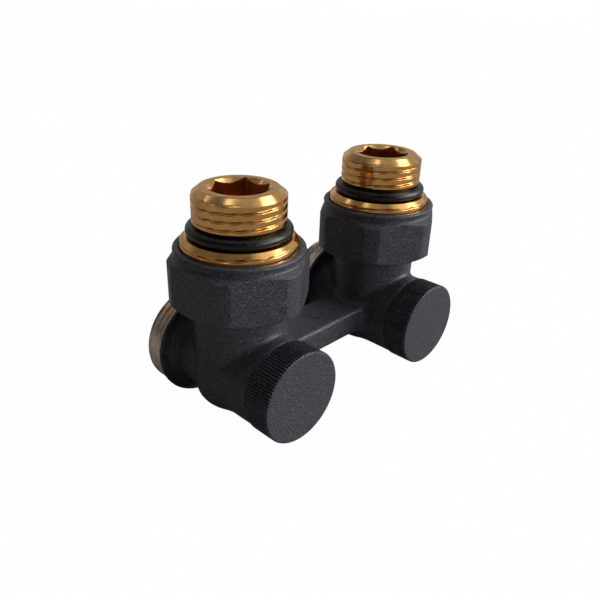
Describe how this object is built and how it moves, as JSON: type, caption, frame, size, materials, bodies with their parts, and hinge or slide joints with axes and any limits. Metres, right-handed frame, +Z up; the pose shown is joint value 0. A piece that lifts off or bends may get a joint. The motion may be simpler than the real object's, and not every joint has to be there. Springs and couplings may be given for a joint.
{
  "type": "radiator connection valve block",
  "caption": "Angle-pattern radiator connection block: barrels joined by a bridge, with pipe threads, knurled shut-off caps and hexagonal union nuts that hold threaded nipples.",
  "frame": {"origin": "midway between the legs and between caps and pipe ends, at the level of the lowest point of the pipe shoulders, on which the block stands", "axes": "+X along the bridge from the left to the right leg, +Y along the barrels towards the pipe threads, +Z up along the necks towards the nipples"},
  "size_m": [0.0808, 0.042, 0.0576],
  "materials": {
    "powder_coat": "textured black powder coat",
    "brass": "turned, bare",
    "rubber": "satin",
    "fibre": "pressed fibre",
    "spring_steel": "drawn wire"
  },
  "bodies": {
    "valve_block": {"valve_body": "powder_coat", "left_union_gasket": "fibre", "left_retaining_ring": "spring_steel", "left_circlip": "spring_steel", "right_union_gasket": "fibre", "right_retaining_ring": "spring_steel", "right_circlip": "spring_steel"},
    "left_nut": {"left_union_nut": "powder_coat"},
    "left_nipple_set": {"left_nipple": "brass", "left_nipple_o_ring": "rubber"},
    "left_spindle_seals": {"left_spindle_o_ring": "rubber", "left_seat_washer": "rubber"},
    "left_spindle_screw": {"left_spindle": "brass"},
    "left_cap_seal": {"left_cap_gasket": "rubber"},
    "left_cap_screw": {"left_cap": "powder_coat"},
    "right_nut": {"right_union_nut": "powder_coat"},
    "right_nipple_set": {"right_nipple": "brass", "right_nipple_o_ring": "rubber"},
    "right_spindle_seals": {"right_spindle_o_ring": "rubber", "right_seat_washer": "rubber"},
    "right_spindle_screw": {"right_spindle": "brass"},
    "right_cap_seal": {"right_cap_gasket": "rubber"},
    "right_cap_screw": {"right_cap": "powder_coat"}
  },
  "joints": [
    {"name": "left_nut_turn", "type": "hinge", "parent": "valve_block", "child": "left_nut", "pos_m": [-0.025, 0, 0.0379], "axis": [0, 0, -1], "range_deg": [0, 1080]},
    {"name": "left_nipple_lift", "type": "slide", "parent": "valve_block", "child": "left_nipple_set", "axis": [0, 0, 1], "range_m": [0, 0.00544]},
    {"name": "left_spindle_travel", "type": "slide", "parent": "valve_block", "child": "left_spindle_seals", "axis": [0, 1, 0], "range_m": [0, 0.003]},
    {"name": "left_spindle_turn", "type": "hinge", "parent": "left_spindle_seals", "child": "left_spindle_screw", "pos_m": [-0.025, -0.008, 0.0137], "axis": [0, 1, 0], "range_deg": [0, 1080]},
    {"name": "left_cap_travel", "type": "slide", "parent": "valve_block", "child": "left_cap_seal", "axis": [0, -1, 0], "range_m": [0, 0.0045]},
    {"name": "left_cap_turn", "type": "hinge", "parent": "left_cap_seal", "child": "left_cap_screw", "pos_m": [-0.025, -0.0175, 0.0137], "axis": [0, -1, 0], "range_deg": [0, 1080]},
    {"name": "right_nut_turn", "type": "hinge", "parent": "valve_block", "child": "right_nut", "pos_m": [0.025, 0, 0.0379], "axis": [0, 0, -1], "range_deg": [0, 1080]},
    {"name": "right_nipple_lift", "type": "slide", "parent": "valve_block", "child": "right_nipple_set", "axis": [0, 0, 1], "range_m": [0, 0.00544]},
    {"name": "right_spindle_travel", "type": "slide", "parent": "valve_block", "child": "right_spindle_seals", "axis": [0, 1, 0], "range_m": [0, 0.003]},
    {"name": "right_spindle_turn", "type": "hinge", "parent": "right_spindle_seals", "child": "right_spindle_screw", "pos_m": [0.025, -0.008, 0.0137], "axis": [0, 1, 0], "range_deg": [0, 1080]},
    {"name": "right_cap_travel", "type": "slide", "parent": "valve_block", "child": "right_cap_seal", "axis": [0, -1, 0], "range_m": [0, 0.0045]},
    {"name": "right_cap_turn", "type": "hinge", "parent": "right_cap_seal", "child": "right_cap_screw", "pos_m": [0.025, -0.0175, 0.0137], "axis": [0, -1, 0], "range_deg": [0, 1080]}
  ],
  "couplings": [
    {"joint": "left_nut_turn", "follows": "left_nipple_lift", "rad_per_m": 3463.7},
    {"joint": "left_spindle_turn", "follows": "left_spindle_travel", "rad_per_m": 6283.2},
    {"joint": "left_cap_turn", "follows": "left_cap_travel", "rad_per_m": 4188.8},
    {"joint": "right_nut_turn", "follows": "right_nipple_lift", "rad_per_m": 3463.7},
    {"joint": "right_spindle_turn", "follows": "right_spindle_travel", "rad_per_m": 6283.2},
    {"joint": "right_cap_turn", "follows": "right_cap_travel", "rad_per_m": 4188.8}
  ]
}
